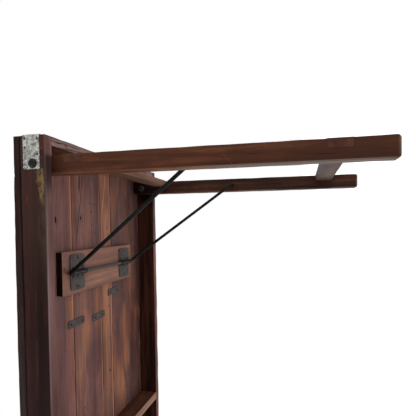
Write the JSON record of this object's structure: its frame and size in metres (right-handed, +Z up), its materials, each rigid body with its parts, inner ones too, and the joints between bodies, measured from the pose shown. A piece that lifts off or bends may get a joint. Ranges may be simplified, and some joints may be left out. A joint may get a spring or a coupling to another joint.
{
  "type": "folding trestle table",
  "caption": "Planked wooden table on a shallow frame, with leg frames that fold flat under the top and bent rod braces that hold them open.",
  "frame": {"origin": "on the floor, under the middle of the table", "axes": "+X along the table's length toward end a, +Y across it toward the right, +Z up, with the top up and the legs open"},
  "size_m": [1.604, 0.6124, 0.764],
  "materials": {
    "top_wood": "old dark stained hardwood, worn",
    "rail_wood": "old dark stained hardwood, worn",
    "leg_wood": "old varnished hardwood, worn at the arrises",
    "board_wood": "old hardwood, less faded",
    "rod_steel": "blackened steel rod",
    "strap_steel": "dull brown steel sheet",
    "zinc_sheet": "galvanised sheet, speckled",
    "bolt_steel": "blackened steel",
    "nail_steel": "rusted nail heads",
    "screw_steel": "dull steel"
  },
  "bodies": {
    "table": {"top_plank_1": "top_wood", "top_plank_2": "top_wood", "top_plank_3": "top_wood", "top_plank_4": "top_wood", "top_nails": "nail_steel", "side_rail_left": "rail_wood", "side_rail_right": "rail_wood", "end_rail_a": "rail_wood", "end_rail_b": "rail_wood", "middle_rail": "rail_wood", "frame_nails": "nail_steel", "brace_board_a": "board_wood", "brace_board_b": "board_wood", "board_screws_a": "screw_steel", "board_screws_b": "screw_steel", "strap_bearing_a_left": "strap_steel", "strap_bearing_a_right": "strap_steel", "strap_bearing_b_left": "strap_steel", "strap_bearing_b_right": "strap_steel", "bearing_screws_a": "screw_steel", "bearing_screws_b": "screw_steel", "mending_plate_1": "strap_steel", "mending_plate_2": "strap_steel", "mending_plate_3": "strap_steel", "mending_screws": "screw_steel", "corner_strap_a_left": "zinc_sheet", "corner_strap_a_right": "zinc_sheet", "corner_strap_b_left": "zinc_sheet", "corner_strap_b_right": "zinc_sheet", "strap_nails": "nail_steel", "pivot_bolt_a_left": "bolt_steel", "pivot_bolt_a_right": "bolt_steel", "pivot_bolt_b_left": "bolt_steel", "pivot_bolt_b_right": "bolt_steel", "pivot_washers_a": "bolt_steel", "pivot_washers_b": "bolt_steel", "pivot_nuts_a": "bolt_steel", "pivot_nuts_b": "bolt_steel"},
    "leg_frame_a": {"leg_a_left": "leg_wood", "leg_a_right": "leg_wood", "upper_stretcher_a": "leg_wood", "lower_stretcher_a": "leg_wood", "stretcher_nails_a": "nail_steel"},
    "leg_frame_b": {"leg_b_left": "leg_wood", "leg_b_right": "leg_wood", "upper_stretcher_b": "leg_wood", "lower_stretcher_b": "leg_wood", "stretcher_nails_b": "nail_steel"},
    "brace_a": {"brace_rod_a": "rod_steel"},
    "brace_b": {"brace_rod_b": "rod_steel"}
  },
  "joints": [
    {"name": "leg_fold_a", "type": "hinge", "parent": "table", "child": "leg_frame_a", "pos_m": [0.741, 0, 0.713], "axis": [0, 1, 0], "range_deg": [0, 90]},
    {"name": "brace_fold_a", "type": "hinge", "parent": "table", "child": "brace_a", "pos_m": [0.495, 0, 0.723], "axis": [0, 1, 0], "range_deg": [0, 126.6]},
    {"name": "leg_fold_b", "type": "hinge", "parent": "table", "child": "leg_frame_b", "pos_m": [-0.741, 0, 0.713], "axis": [0, -1, 0], "range_deg": [0, 90]},
    {"name": "brace_fold_b", "type": "hinge", "parent": "table", "child": "brace_b", "pos_m": [-0.495, 0, 0.723], "axis": [0, -1, 0], "range_deg": [0, 126.6]}
  ],
  "couplings": [
    {"joint": "brace_fold_a", "follows": "leg_fold_a", "ratio": 1.4066},
    {"joint": "brace_fold_b", "follows": "leg_fold_b", "ratio": 1.4066}
  ]
}
